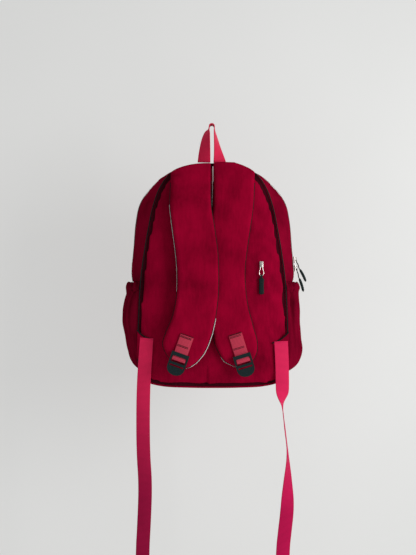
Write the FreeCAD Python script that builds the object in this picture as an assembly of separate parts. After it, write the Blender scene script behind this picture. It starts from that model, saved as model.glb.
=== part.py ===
import FreeCAD, Part
import math
import os

V = FreeCAD.Vector
os.makedirs("parts", exist_ok=True)

# Frame: origin under the top of the haul loop, +Z up, back panel and straps toward -Y, front toward +Y.
# Millimetres.
BAG_X = 2.0          # centre of the bag
FOLD_Z = -290.0      # fold line of the opening front
BOTTOM_Z = -455.0    # split between walls and bottom panel
DEPTH_TOP, DEPTH_LOW = 95.0, 132.0
TOP_Z, BASE_Z = -72.0, -485.0
WALL = 1.5
ZIP_S = 0.55         # the main zip's place between back seam (0) and front seam (1)
PANEL_Y = -8.0       # outer face of the back panel
GAP = 0.6

# Half outlines from the top centre to the bottom centre: (distance from centre, height),
# at the back seam, at half the bag's depth and at the front seam
BACK = [(0, -72), (42, -75), (76, -88), (98, -116), (111, -152), (120, -195), (128, -243), (134, -290),
        (137, -345), (138.5, -400), (137, -445), (124, -472), (92, -482), (45, -484.5), (0, -485)]
MID = [(0, -74), (45.5, -76.5), (87, -88.5), (117, -113), (138, -141.5), (146.5, -179), (150.5, -225),
       (154.5, -272), (151, -302), (150, -345), (148, -400), (142.5, -440), (130, -468), (97, -482), (48, -486),
       (0, -487)]
FRONT = [(0, -88), (38, -91), (72, -104), (98, -126), (117, -153), (128, -190), (133, -235), (138, -288),
         (140, -345), (141, -398), (139, -436), (124, -462), (90, -474), (44, -478), (0, -479)]


def depth(z):
    return DEPTH_TOP + (DEPTH_LOW - DEPTH_TOP) * (TOP_Z - z) / (TOP_Z - BASE_Z)


def outline_points(s, grow=0.0, forward=0.0):
    """Closed outline at depth share s, grown outward by grow and moved toward the front by forward."""
    wb, wm, wf = (s - 0.5) * (s - 1) / 0.5, s * (1 - s) / 0.25, s * (s - 0.5) / 0.5
    half = [tuple(wb * b[k] + wm * m[k] + wf * f[k] for k in (0, 1)) for b, m, f in zip(BACK, MID, FRONT)]
    ring = half + [(-x, z) for x, z in half[-2:0:-1]]
    n = len(ring)
    out = []
    for i, (x, z) in enumerate(ring):
        (ax, az), (cx, cz) = ring[i - 1], ring[(i + 1) % n]
        tx, tz = cx - ax, cz - az
        size = math.hypot(tx, tz)
        x, z = BAG_X + x - tz / size * grow, z + tx / size * grow
        out.append(V(x, s * depth(z) + forward, z))
    return out


def closed_curve(points):
    n = len(points)
    curve = Part.BSplineCurve()
    curve.interpolate(Points=points, PeriodicFlag=True, Parameters=[i / n for i in range(n + 1)])
    return curve


def height_param(curve, z, low, high):
    """Parameter between low and high where the curve reaches height z."""
    falling = curve.value(low).z > curve.value(high).z
    for _ in range(40):
        middle = (low + high) / 2
        if (curve.value(middle).z > z) == falling:
            low = middle
        else:
            high = middle
    return low


def arc_points(s, z_start, z_end, part, grow=0.0, forward=0.0, count=25):
    """Points along the outline, cut at heights z. part is top (over the arch), bottom, right or left."""
    curve = closed_curve(outline_points(s, grow, forward))
    sides = {"top": (True, False), "bottom": (False, True), "right": (False, False), "left": (True, True)}
    on_left = sides[part]
    first, last = [height_param(curve, z, *((0.52, 0.98) if left else (0.02, 0.48)))
                   for z, left in zip((z_start, z_end), on_left)]
    if part == "top":
        first -= 1.0
    return [curve.value((first + (last - first) * i / (count - 1)) % 1.0) for i in range(count)]


def open_edge(points):
    curve = Part.BSplineCurve()
    n = len(points)
    curve.interpolate(Points=points, Parameters=[i / (n - 1) for i in range(n)])
    return curve.toShape()


def wall_wire(outer, inner):
    """Closed wire from an outer arc and the inner arc behind it."""
    return Part.Wire([open_edge(outer), Part.makeLine(outer[-1], inner[-1]), open_edge(inner[::-1]),
                      Part.makeLine(inner[0], outer[0])])


def side_x(s, z):
    """Distance of the outer surface from the YZ plane on the +X side."""
    curve = closed_curve(outline_points(s))
    return curve.value(height_param(curve, z, 0.02, 0.48)).x


def loft(wires, ruled=True):
    return Part.makeLoft(wires, True, ruled)


def band(s0, s1, part, z_start, z_end, outer=0.0, inner=-WALL, steps=4):
    """Wall following the bag's outline from depth share s0 to s1."""
    shares = [s0 + (s1 - s0) * i / (steps - 1) for i in range(steps)]
    arcs = [[arc_points(s, z_start, z_end, part, grow) for grow in (outer, inner)] for s in shares]
    return loft([wall_wire(*pair) for pair in arcs])


def box(x0, x1, y0, y1, z0, z1):
    return Part.makeBox(x1 - x0, y1 - y0, z1 - z0, V(x0, y0, z0))


def plate(points, y0, y1):
    """Flat plate in the XZ plane, from a closed list of (x, z)."""
    corners = [V(x, y0, z) for x, z in points]
    return Part.Face(Part.makePolygon(corners + corners[:1])).extrude(V(0, y1 - y0, 0))


def smooth_rows(rows, fine=4):
    """Rows of numbers filled in with Catmull-Rom steps, so that straight-ruled pieces look curved."""
    out = []
    for i in range(len(rows) - 1):
        p = [rows[max(0, i - 1)], rows[i], rows[i + 1], rows[min(len(rows) - 1, i + 2)]]
        for j in range(fine):
            t = j / fine
            out.append(tuple(0.5 * (2 * b + (c - a) * t + (2 * a - 5 * b + 4 * c - d) * t * t
                                    + (3 * b - a - 3 * c + d) * t ** 3) for a, b, c, d in zip(*p)))
    return out + [tuple(rows[-1])]


def strip(sections):
    """Solid ruled through rectangles given by their four corners."""
    return loft([Part.makePolygon(c + c[:1]) for c in sections])


def turned_rect(centre, along, width, thickness):
    """Rectangle square to along; width is the unit vector times half its width."""
    normal = along.cross(width)
    normal.normalize()
    t = normal * (thickness / 2)
    return [centre + width + t, centre - width + t, centre - width - t, centre + width - t]


PARTS = {}

# Back panel: fabric face, foam and lining, with a black piping round the seam
PIPING_R = 2.0


def back_plate(y0, y1):
    points = [V(p.x, y0, p.z) for p in outline_points(0, -PIPING_R - 0.2)]
    face = Part.Face(Part.Wire([closed_curve(points).toShape()]))
    return face.extrude(V(0, y1 - y0, 0))


PARTS["back_panel"] = back_plate(PANEL_Y, PANEL_Y + 1.2)
PARTS["back_foam"] = back_plate(PANEL_Y + 1.2, -1.0)
PARTS["back_lining"] = back_plate(-1.0, 0.0)


def piping(edge, radius):
    start = edge.FirstParameter
    ring = Part.Wire([Part.makeCircle(radius, edge.valueAt(start), edge.tangentAt(start))])
    return Part.Wire([edge]).makePipeShell([ring], True, True)


seam = closed_curve([V(p.x, -PIPING_R - 0.2, p.z) for p in outline_points(0)])
PARTS["back_piping"] = piping(seam.toShape(), PIPING_R)

# Rear half of the arched wall above the fold; walls and bottom panel below it
FLAP_Z = FOLD_Z + GAP
zip_rear, zip_line, zip_front = ZIP_S - 0.09, ZIP_S, ZIP_S + 0.09
PARTS["gusset_rear"] = band(0.0, zip_rear, "top", FOLD_Z, FOLD_Z)
PARTS["side_wall_right"] = band(0.0, 1.0, "right", FOLD_Z, BOTTOM_Z)
PARTS["side_wall_left"] = band(0.0, 1.0, "left", BOTTOM_Z, FOLD_Z)
PARTS["bottom_panel"] = band(0.0, 1.0, "bottom", BOTTOM_Z, BOTTOM_Z)
PARTS["gusset_front"] = band(zip_front, 1.0, "top", FLAP_Z, FLAP_Z)

# Padded front: rounded steps (forward, share of full size) from the front seam to its flat middle
DOME_INSET = 0.008       # share that the cloth's inner face is smaller, for each millimetre of its thickness
DOME = [(0.0, 0.985), (7.0, 0.965), (13.0, 0.90), (17.0, 0.76), (18.5, 0.56)]


def dome(part, z, thin, past):
    """Half of the padded front, on one side of height z; thin is how far inside the outer face it lies."""
    wires = []
    for i, (forward, share) in enumerate(DOME):
        forward = forward - thin if i else -past
        rim = arc_points(1.0, z, z, part)
        size = share - thin * DOME_INSET
        points = [(BAG_X + (p.x - BAG_X) * size, z + (p.z - z) * size) for p in rim]
        points = [V(x, depth(height) + forward, height) for x, height in points]
        wires.append(Part.Wire([open_edge(points), Part.makeLine(points[-1], points[0])]))
    return loft(wires)


for name, part, z, over in (("front_panel", "top", FLAP_Z, -3.0), ("lower_front", "bottom", FOLD_Z, 3.0)):
    PARTS[name] = dome(part, z, 0.0, 0.0).cut(dome(part, z + over, WALL, 2.0))

PARTS["front_piping"] = piping(open_edge(arc_points(1.0, FLAP_Z + 2, FLAP_Z + 2, "top", 0.0, 2.0)), 1.5)

# Main zip: a tape and half of the coil on each side of the zip line
coil = 0.022
edge = 0.004
for name, z, s_tape, s_coil, s_edge in (
        ("main_zip_rear", FOLD_Z, zip_rear, zip_line - coil, zip_line - edge),
        ("main_zip_front", FLAP_Z, zip_front, zip_line + coil, zip_line + edge)):
    tape = band(s_tape, s_edge, "top", z, z, 0.0, -1.0)
    teeth = band(s_coil, s_edge, "top", z, z, 1.2, 0.0)
    PARTS[name] = Part.makeCompound([tape, teeth])


# Side pockets: gathered cloth outside the walls, with an elastic hem round the mouth
BODY = loft([Part.Wire([closed_curve(outline_points(s)).toShape()]) for s in (0.0, 0.33, 0.67, 1.0)])
POCKET_Y, POCKET_HALF = 54.0, 62.0
HEM_LOW = -309.0
POCKET_BULGE = 46.0
# How far each pocket stands out from the bag's centre plane: (height, distance)
POCKETS = {
    "left": (-1, [(-293, 163.5), (-309, 163.5), (-322, 167), (-345, 171), (-368, 171.5), (-392, 166.5),
                  (-420, 162), (-444, 151), (-460, 137)]),
    "right": (1, [(-293, 163), (-309, 163), (-322, 163), (-345, 164.5), (-372, 165.5), (-400, 168),
                  (-418, 170), (-434, 165), (-448, 154), (-460, 139)]),
}
WIDE = box(-300, 300, 1.0, 300, -700, 0)        # everything in front of the back seam


def pocket_blob(word, grow):
    """Solid of ellipse sections, of which the part outside the wall is the pocket."""
    side, profile = POCKETS[word]
    rings = []
    for z, reach in profile:
        centre = V(BAG_X + side * (reach - POCKET_BULGE), POCKET_Y, z)
        rings.append(Part.Wire([Part.Ellipse(V(centre.x, centre.y + POCKET_HALF + grow, z),
                                             V(centre.x + side * (POCKET_BULGE + grow), centre.y, z),
                                             centre).toShape()]))
    return loft(rings).common(WIDE)


def pocket_layer(word, outer, inner, low, high):
    """Cloth between two offsets of the pocket, outside the bag and between two heights."""
    ring = pocket_blob(word, outer).cut(pocket_blob(word, inner)).common(box(-300, 300, -50, 300, low, high))
    outside = ring.cut(BODY).cut(PARTS["side_wall_" + word]).cut(PARTS["bottom_panel"])
    return max(outside.Solids, key=lambda solid: solid.Volume)


for word in POCKETS:
    PARTS["side_pocket_" + word] = pocket_layer(word, 0.0, -1.2, BASE_Z, HEM_LOW)
    PARTS["pocket_hem_" + word] = pocket_layer(word, 0.6, -1.8, HEM_LOW, 0.0)

# Front pocket on the lower front, with its zip across the top
POCKET_FRONT = [(-105, -318), (105, -318), (110, -330), (110, -440), (98, -455), (-98, -455), (-110, -440),
                (-110, -330)]
FRONT_Y = 158.0
FRONT_ZIP_Z = -335.0
FRONT_MIDDLE_Z = -386.0


def front_block(inset, y1):
    """The pocket's block from inside the bag to y1, its outline smaller by about the inset."""
    corners = [(BAG_X + x * (1 - inset / 110.0), FRONT_MIDDLE_Z + (z - FRONT_MIDDLE_Z) * (1 - inset / 70.0))
               for x, z in POCKET_FRONT]
    return plate(corners, 100.0, y1)


def front_zip_box(half_length, half_height, y0, y1):
    return box(BAG_X - half_length, BAG_X + half_length, y0, y1, FRONT_ZIP_Z - half_height,
               FRONT_ZIP_Z + half_height)


front_pocket = front_block(0.0, FRONT_Y).cut(front_block(WALL, FRONT_Y - WALL)).cut(BODY)
front_pocket = front_pocket.cut(dome("bottom", FOLD_Z, 0.0, 0.0))
slot = front_zip_box(85, 2.2, FRONT_Y - 6, FRONT_Y + 6)
PARTS["front_pocket"] = max(front_pocket.Solids, key=lambda solid: solid.Volume).cut(slot)
tape = front_zip_box(90, 8, FRONT_Y, FRONT_Y + 1.2).cut(slot)
PARTS["front_pocket_zip"] = tape.fuse(front_zip_box(85, 2.2, FRONT_Y - 1.0, FRONT_Y + 1.8)).removeSplitter()


EYE = 1.1            # the pull's wire runs this far above the slider's body, through the bail


def slider(width, length, height, bail_half=1.1):
    """Zip slider lying on its tape: Z is its travel, +Y away from the tape. A body with a bail on top."""
    body = box(-width / 2, width / 2, 0.0, height, -length / 2, length / 2)
    body = body.makeFillet(1.0, [e for e in body.Edges if abs(e.tangentAt(e.FirstParameter).z) > 0.9])
    bail = box(-bail_half, bail_half, height, height + 2 * EYE + 1.0, -4.0, 4.0)
    return body.fuse(bail.cut(box(-2, 2, height, height + 2 * EYE, -2.4, 2.4))).removeSplitter()


def puller(cord_length, grip_length, grip_radius, shift=0.0, round_bar=False):
    """Cord and rubber grip hanging from the origin, where the cord's eye runs through or round the bail."""
    if round_bar:
        eye, low = Part.makeTorus(1.6, 0.7, V(0, 0, 0), V(1, 0, 0)), 1.7
    else:
        eye, low = Part.makeTorus(3.2, 0.7, V(0, 0, -3.2), V(0, 1, 0)), 6.4
    run = V(shift, 0, -cord_length) - V(0, 0, -low)
    cord = Part.makeCylinder(0.9, run.Length + 1.0, V(0, 0, -low), run)
    grip = Part.makeCylinder(grip_radius, grip_length, V(shift, 0, -cord_length), V(0, 0, -1))
    ends = [e for e in grip.Edges if isinstance(e.Curve, Part.Circle)]
    return cord.fuse(eye).fuse(grip.makeFillet(grip_radius * 0.4, ends)).removeSplitter()


def placed(shape, x, y, z, turn_z=0.0, tilt_y=0.0):
    spin = FreeCAD.Rotation(V(0, 1, 0), tilt_y).multiply(FreeCAD.Rotation(V(0, 0, 1), turn_z))
    moved = shape.copy()
    moved.Placement = FreeCAD.Placement(V(x, y, z), spin).multiply(shape.Placement)
    return moved


# Main-zip sliders on the +X side; their pulls hang outward over the pocket's mouth
# (name, height, the grip's shift along the zip's tape, its outward tilt)
MAIN_SLIDERS = [("upper", -248.0, 3.2, 25.0), ("lower", -264.5, -3.2, 16.0)]
SLIDER_RISE, SLIDER_H = 2.2, 3.0
JOINTS = {}
for word, z, shift, outward in MAIN_SLIDERS:
    y_zip, surface = ZIP_S * depth(z), side_x(ZIP_S, z)
    lean = math.degrees(math.atan2(side_x(ZIP_S, z - 8) - side_x(ZIP_S, z + 8), 16.0))
    body = slider(8.5, 12.0, SLIDER_H)
    PARTS["slider_" + word] = placed(body, surface + SLIDER_RISE, y_zip, z, turn_z=-90.0, tilt_y=-lean)
    wire = V(surface + SLIDER_RISE + SLIDER_H + EYE, y_zip, z - 0.6)
    JOINTS["slider_" + word] = V(surface, y_zip, z)
    JOINTS["pull_" + word] = wire
    PARTS["pull_" + word] = placed(puller(19.0, 27.0, 2.6, shift), *wire, turn_z=-90.0, tilt_y=-outward)

# Hidden pocket in the back panel: zip, slider, pull and the flat bag behind the lining
HIDDEN_X, HIDDEN_TOP, HIDDEN_LOW = 91.0, -246.0, -407.0
HIDDEN_BASE = PANEL_Y - 2.0      # where its slider's body starts
hidden_tape = box(HIDDEN_X - 4.5, HIDDEN_X + 4.5, PANEL_Y - 0.6, PANEL_Y, HIDDEN_LOW, HIDDEN_TOP)
hidden_coil = box(HIDDEN_X - 1.8, HIDDEN_X + 1.8, PANEL_Y - 1.6, PANEL_Y - 0.6, HIDDEN_LOW, HIDDEN_TOP)
PARTS["hidden_zip"] = hidden_tape.fuse(hidden_coil).removeSplitter()
HIDDEN_SLIDER_Z = -258.0
PARTS["hidden_slider"] = placed(slider(7.0, 11.0, SLIDER_H), HIDDEN_X, HIDDEN_BASE, HIDDEN_SLIDER_Z,
                                turn_z=180.0)

# Its pull: a drop-shaped wire link and a flat rubber grip below.
# Half outlines of the link: (distance from its centre line, height)
LINK_OUTER = [(2.9, 0.7), (3.3, -7), (4.8, -14), (3.8, -18.2), (0, -20)]
LINK_INNER = [(1.5, -0.7), (1.9, -7), (3.4, -14), (2.7, -17.2), (0, -18.6)]


def symmetric(half):
    """Closed outline of the half outline and its mirror image across Z."""
    return half + [(-x, z) for x, z in half[::-1] if x]


pull_ring = plate(symmetric(LINK_OUTER), -0.7, 0.7).cut(plate(symmetric(LINK_INNER), -1, 1))
pull_stem = box(-2.2, 2.2, -1.2, 1.2, -25.0, -18.0)
pull_grip = box(-5.2, 5.2, -1.8, 1.8, -54.0, -23.0)
corner_edges = [e for e in pull_grip.Edges if abs(e.tangentAt(e.FirstParameter).y) > 0.9]
pull_grip = pull_grip.makeFillet(1.5, corner_edges)
JOINTS["hidden_pull"] = V(HIDDEN_X, HIDDEN_BASE - SLIDER_H - EYE, HIDDEN_SLIDER_Z - 1.2)
hidden_pull = pull_ring.fuse(pull_stem).fuse(pull_grip).removeSplitter()
PARTS["hidden_pull"] = placed(hidden_pull, *JOINTS["hidden_pull"])
pocket_space = box(-43.5, 95.5, 0.8, 1.6, -408.5, -241.5)
PARTS["hidden_pocket_bag"] = box(-45, 97, 0.0, 2.4, -410, -240).cut(pocket_space)

# Front-pocket slider and pull
front_x, front_base = BAG_X - 76.0, FRONT_Y + SLIDER_RISE
PARTS["front_slider"] = placed(slider(7.0, 11.0, SLIDER_H, 0.6), front_x, front_base, FRONT_ZIP_Z,
                               tilt_y=90.0)
JOINTS["front_pull"] = V(front_x, front_base + SLIDER_H + 2 * EYE + 0.5, FRONT_ZIP_Z)
PARTS["front_pull"] = placed(puller(10.0, 22.0, 2.4, round_bar=True), *JOINTS["front_pull"])

# Shoulder straps: horizontal sections (height, left edge, right edge, back face)
STRAPS = {
    "left": [(-76, -75.5, -2, -8.6), (-108, -75.5, -2, -10), (-150, -76, -1.5, -26.5),
             (-190, -71.5, 4.5, -27), (-236, -65.5, 10.5, -27.4), (-275, -62.5, 12, -27.4),
             (-318, -64, 11, -27.2), (-354, -71.5, 6.5, -26.8), (-384, -84, 0, -26.5),
             (-404, -89, -7, -26.5), (-421, -82.5, -15.5, -26.5), (-436, -70, -28, -26.5),
             (-446, -54, -41, -26.5)],
    "right": [(-76, 3, 79, -8.6), (-108, 3, 78, -9.2), (-150, 1.5, 76, -11), (-190, -4.5, 70.5, -12),
              (-228, -11, 65, -12), (-262, -14.5, 61, -12), (-292, -15, 61, -12), (-335, -10, 66, -12),
              (-374, 0, 76, -12), (-401, 5, 83, -12), (-420, 13, 82, -12), (-436, 24, 73.5, -12),
              (-446, 43, 57, -12)],
}
MESH_T, FOAM_T, FACE_T = 1.2, 10.0, 1.2
trim_edge = closed_curve([V(p.x, -70, p.z) for p in outline_points(0, 1.0)]).toShape()
STRAP_TRIM = Part.Face(Part.Wire([trim_edge])).extrude(V(0, 90, 0))


def strap_layer(stations, y_from, thickness):
    """One layer of a strap, its top edge cut to the bag's arch."""
    sections = []
    for z, x0, x1, y in smooth_rows(stations):
        near, far = y - y_from, y - y_from - thickness
        sections.append([V(x0, near, z), V(x1, near, z), V(x1, far, z), V(x0, far, z)])
    return strip(sections).common(STRAP_TRIM)


# Ladder locks hang on doubled webbing.
# z runs up along the webbing from the lock's bar, y from the strap's face.
BAR_OUT, BAR_R, WEB_T = 3.9, 2.0, 1.5
STITCH_Z = 16.5
STUB_TOP = {"left": 45.0, "right": 50.0}
LOCK_HALF, RAIL_W = 16.4, 3.2
LOCKS = {"left": (V(-59.6, 0, -429.5), -19.6, -26.5), "right": (V(57.0, 0, -433.0), 17.0, -12.0)}
DOUBLE_T = 2 * WEB_T + 0.05


def profile_block(corners, width=25.0):
    """Solid of a closed (y, z) profile, centred across X."""
    points = [V(-width / 2, y, z) for y, z in corners]
    return Part.Face(Part.makePolygon(points + points[:1])).extrude(V(width, 0, 0))


def sewn_webbing(top):
    """The doubled webbing sewn to the strap's face, up to the given height."""
    low = STITCH_Z + 0.4
    return profile_block([(0, low), (0, top), (-DOUBLE_T, top), (-DOUBLE_T, low)])


def webbing_loop():
    """The free end of the webbing, round the lock's bar."""
    inner, outer = BAR_R + 0.4, BAR_R + 0.4 + WEB_T
    top, split = STITCH_Z - 0.4, STITCH_Z - 4.4
    bar = V(-12.5, -BAR_OUT, 0)
    turn = Part.makeCylinder(outer, 25, bar, V(1, 0, 0)).cut(Part.makeCylinder(inner, 25, bar, V(1, 0, 0)))
    turn = turn.common(box(-20, 20, -30, 30, -10, 0))
    legs = profile_block([(-BAR_OUT - outer, 0), (-DOUBLE_T, split + 1), (-DOUBLE_T, top), (0, top), (0, 0),
                          (-BAR_OUT + inner, 0), (-WEB_T, split), (-WEB_T - 0.1, split),
                          (-BAR_OUT - inner, 0)])
    return turn.fuse(legs).removeSplitter()


def ladder_lock():
    """Bar for the webbing loop at the origin, a bridge above it, a gripping bar and a tongue below."""
    bar = Part.makeCylinder(BAR_R, 2 * LOCK_HALF - 3, V(1.5 - LOCK_HALF, 0, 0), V(1, 0, 0))
    grip = box(1.5 - LOCK_HALF, LOCK_HALF - 1.5, -3.0, 1.2, -11.2, -6.6)
    bridge = box(-LOCK_HALF, LOCK_HALF, -5.4, -2.9, 5.2, 11.8)
    outline = [(LOCK_HALF, -14.2), (LOCK_HALF - 0.7, -19.6), (12.4, -25.2), (6.8, -28.6)]
    tongue = plate(outline + [(0, -29.8)] + [(-x, z) for x, z in outline[::-1]], -3.0, 1.2)
    lock = bar.fuse(grip).fuse(bridge).fuse(tongue)
    for side in (-1, 1):
        rail = [(-3.0, -16), (1.8, -16), (1.8, 3), (-1.2, 11.8), (-5.4, 11.8), (-5.4, 4), (-3.0, 0)]
        solid = profile_block(rail, RAIL_W)
        solid.translate(V(side * (LOCK_HALF - RAIL_W / 2), 0, 0))
        lock = lock.fuse(solid)
    return lock.removeSplitter()


for word, stations in STRAPS.items():
    name = "strap_" + word
    PARTS[name + "_mesh"] = strap_layer(stations, 0.0, MESH_T)
    PARTS[name + "_foam"] = strap_layer(stations, MESH_T, FOAM_T)
    PARTS[name + "_face"] = strap_layer(stations, MESH_T + FOAM_T, FACE_T)
    at, tilt, back_y = LOCKS[word]
    face_y = back_y - MESH_T - FOAM_T - FACE_T - 0.35
    PARTS[name + "_webbing"] = placed(sewn_webbing(STUB_TOP[word]), at.x, face_y, at.z, tilt_y=-tilt)
    PARTS["lock_loop_" + word] = placed(webbing_loop(), at.x, face_y, at.z, tilt_y=-tilt)
    PARTS["ladder_lock_" + word] = placed(ladder_lock(), at.x, face_y - BAR_OUT, at.z, tilt_y=-tilt)
    hinge = placed(Part.Vertex(0, -DOUBLE_T - 0.1, STITCH_Z), at.x, face_y, at.z, tilt_y=-tilt)
    JOINTS["ladder_lock_" + word] = hinge.Point

# Corner tabs and the loose adjuster webbings: (across, height, depth, turn about the webbing's length)
TAB_Y = PANEL_Y - 0.2
TAB_T = 1.6
TABS = {
    "left": [(-135.5, -381), (-124, -391), (-108.5, -397), (-112, -407), (-135.5, -424)],
    "right": [(139.5, -385), (128, -395.5), (112, -404), (115, -413), (139.5, -428)],
}
for word, corners in TABS.items():
    PARTS["corner_tab_" + word] = plate(corners, TAB_Y - TAB_T, TAB_Y)

ADJUSTERS = {
    "left": [(-119.5, -393, -11, 0), (-123, -440, -12.5, 0), (-126, -500, -14, 0), (-126, -600, -14, 0),
             (-121.5, -660, -14, 0), (-124, -730, -14, 0), (-127.5, -790, -14, 0), (-127.5, -870, -14, 0)],
    "right": [(127, -399, -11, 0), (129, -440, -12.5, 4), (129.5, -488, -14, 12), (129, -516, -14, 80),
              (134, -560, -14, 84), (139.5, -604, -14, 80), (139, -660, -14, 45), (138.5, -706, -14, 8),
              (134, -745, -14, 0), (129.5, -785, -14, 0), (128, -870, -14, 0)],
}
for word, stations in ADJUSTERS.items():
    sections = []
    stations = smooth_rows(stations)
    for i, (x, z, y, twist) in enumerate(stations):
        a, b = stations[max(0, i - 1)], stations[min(len(stations) - 1, i + 1)]
        along = V(b[0] - a[0], b[2] - a[2], b[1] - a[1])
        along.normalize()
        width = V(math.cos(math.radians(twist)), math.sin(math.radians(twist)), 0)
        width = width - along * width.dot(along)
        width.normalize()
        sections.append(turned_rect(V(x, y, z), along, width * 12.5, WEB_T))
    PARTS["adjuster_" + word] = strip(sections)

# Haul loop: a webbing strap sewn into the top seam, its legs turning on edge up to its round top.
# A peg bears on the inside of the top, at the origin.
LOOP_T, LOOP_HALF, LOOP_R = 1.6, 12.3, 4.0
LOOP_LEG = [(-14.4, -69.4, 16), (-13.7, -57, 25), (-12.6, -42, 38), (-10.9, -26, 52), (-8.4, -13.5, 67),
            (-5.9, -7.5, 84), (-4.8, -4.0, 90)]
leg = []
rows = smooth_rows(LOOP_LEG)
for i, (x, z, twist) in enumerate(rows):
    a, b = rows[max(0, i - 1)], rows[min(len(rows) - 1, i + 1)]
    along = V(b[0] - a[0], 0, b[1] - a[1]) if i < len(rows) - 1 else V(0, 0, 1)
    along.normalize()
    across = along.cross(V(0, 1, 0))
    width = across * -math.cos(math.radians(twist)) - V(0, 1, 0) * math.sin(math.radians(twist))
    leg.append(turned_rect(V(x, 0, z), along, width * LOOP_HALF, LOOP_T))
outside, inside = [Part.makeCylinder(radius, 2 * LOOP_HALF, V(0, -LOOP_HALF, -LOOP_R), V(0, 1, 0))
                   for radius in (LOOP_R + LOOP_T, LOOP_R)]
arch = outside.cut(inside).common(box(-20, 20, -20, 20, -LOOP_R, 20))
left_leg = strip(leg)
PARTS["haul_loop"] = left_leg.fuse(arch).fuse(left_leg.mirror(V(0, 0, 0), V(1, 0, 0)))

for name, shape in PARTS.items():
    shape.exportStep("parts/" + name + ".step")
    print("%-22s valid %s solids %d volume %.0f" % (name, shape.isValid(), len(shape.Solids), shape.Volume))
for name, point in JOINTS.items():
    print("joint %-22s %.2f %.2f %.2f" % (name, *point))
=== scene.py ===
"""Daypack hanging by its haul loop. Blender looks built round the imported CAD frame.

The axes are the CAD's: origin under the top of the haul loop, +Z up, back panel and straps toward -Y.
Shapes are worked out in millimetres and scaled when a mesh is made; cord routes are in metres.
"""
import math

import bmesh
import bpy
from mathutils import Matrix, Vector, noise


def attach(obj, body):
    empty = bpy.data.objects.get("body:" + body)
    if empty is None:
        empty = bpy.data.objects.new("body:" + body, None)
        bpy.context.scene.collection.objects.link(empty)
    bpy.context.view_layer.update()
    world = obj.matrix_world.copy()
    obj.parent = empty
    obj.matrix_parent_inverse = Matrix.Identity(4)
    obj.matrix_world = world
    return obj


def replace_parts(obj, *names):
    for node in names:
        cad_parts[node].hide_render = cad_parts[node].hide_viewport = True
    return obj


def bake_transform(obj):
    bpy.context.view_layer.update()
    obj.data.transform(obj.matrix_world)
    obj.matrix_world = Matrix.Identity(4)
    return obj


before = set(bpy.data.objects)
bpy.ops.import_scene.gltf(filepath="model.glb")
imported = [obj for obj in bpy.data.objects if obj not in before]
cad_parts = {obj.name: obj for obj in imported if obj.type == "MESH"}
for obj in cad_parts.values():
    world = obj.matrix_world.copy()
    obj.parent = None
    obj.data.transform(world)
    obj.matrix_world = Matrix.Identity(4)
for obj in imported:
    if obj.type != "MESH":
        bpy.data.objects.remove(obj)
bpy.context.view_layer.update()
MM = 0.001

# ---------------------------------------------------------------- driving dimensions
# They are the CAD's, apart from the side pockets' last stations and the haul loop's right leg.
BAG_X = 2.0
FOLD_Z = -290.0
TOP_Z, BASE_Z = -72.0, -485.0
DEPTH_TOP, DEPTH_LOW = 95.0, 132.0
PANEL_Y = -8.0
ZIP_S = 0.55
ZIP_REAR_S, ZIP_FRONT_S = ZIP_S - 0.09, ZIP_S + 0.09

# Half outlines from the top centre to the bottom centre: (distance from centre, height)
BACK = [(0, -72), (42, -75), (76, -88), (98, -116), (111, -152), (120, -195), (128, -243), (134, -290),
        (137, -345), (138.5, -400), (137, -445), (124, -472), (92, -482), (45, -484.5), (0, -485)]
MID = [(0, -74), (45.5, -76.5), (87, -88.5), (117, -113), (138, -141.5), (146.5, -179), (150.5, -225),
       (154.5, -272), (151, -302), (150, -345), (148, -400), (142.5, -440), (130, -468), (97, -482),
       (48, -486), (0, -487)]
FRONT = [(0, -88), (38, -91), (72, -104), (98, -126), (117, -153), (128, -190), (133, -235), (138, -288),
         (140, -345), (141, -398), (139, -436), (124, -462), (90, -474), (44, -478), (0, -479)]

# Padded front: (share of full size, distance forward) from the front seam to the flat middle
DOME = [(1.0, 0), (0.985, 2), (0.965, 7), (0.90, 13), (0.76, 17), (0.56, 18.3), (0.36, 18.5), (0.18, 18.5),
        (0.04, 18.5)]

# Shoulder straps: (height, left edge, right edge, back face)
STRAPS = {
    "left": [(-76, -75.5, -2, -8.6), (-108, -75.5, -2, -10), (-150, -76, -1.5, -26.5),
             (-190, -71.5, 4.5, -27), (-236, -65.5, 10.5, -27.4), (-275, -62.5, 12, -27.4),
             (-318, -64, 11, -27.2), (-354, -71.5, 6.5, -26.8), (-384, -84, 0, -26.5),
             (-404, -89, -7, -26.5), (-421, -82.5, -15.5, -26.5), (-436, -70, -28, -26.5),
             (-446, -54, -41, -26.5)],
    "right": [(-76, 3, 79, -8.6), (-108, 3, 78, -9.2), (-150, 1.5, 76, -11), (-190, -4.5, 70.5, -12),
              (-228, -11, 65, -12), (-262, -14.5, 61, -12), (-292, -15, 61, -12), (-335, -10, 66, -12),
              (-374, 0, 76, -12), (-401, 5, 83, -12), (-420, 13, 82, -12), (-436, 24, 73.5, -12),
              (-446, 43, 57, -12)],
}
MESH_T, STRAP_T = 1.2, 12.4
# Stretches where the lining shows beyond the face cloth: (edge, top, bottom, by how much); edge 0 is the left
LINING_SHOWS = {
    "left": [(0, -145, -309, 1.5), (1, -353, -446, 1.7)],
    "right": [(0, -80, -158, 2.6), (0, -425, -446, 1.5)],
}
LINING_TOP = -82
STRAP_LAST = -446.0

# Ladder locks: place of the webbing's back face level with the lock's bar, and tilt about Y
LOCKS = {
    "left": (Vector((-59.6, -39.25, -429.5)), 19.6),
    "right": (Vector((57.0, -24.75, -433.0)), -17.0),
}
BAR_OUT, BAR_LOOP_R, WEB_T = 3.9, 3.15, 1.5
STITCH_Z = 16.5
STUB_TOP = {"left": 45.0, "right": 50.0}

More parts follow.
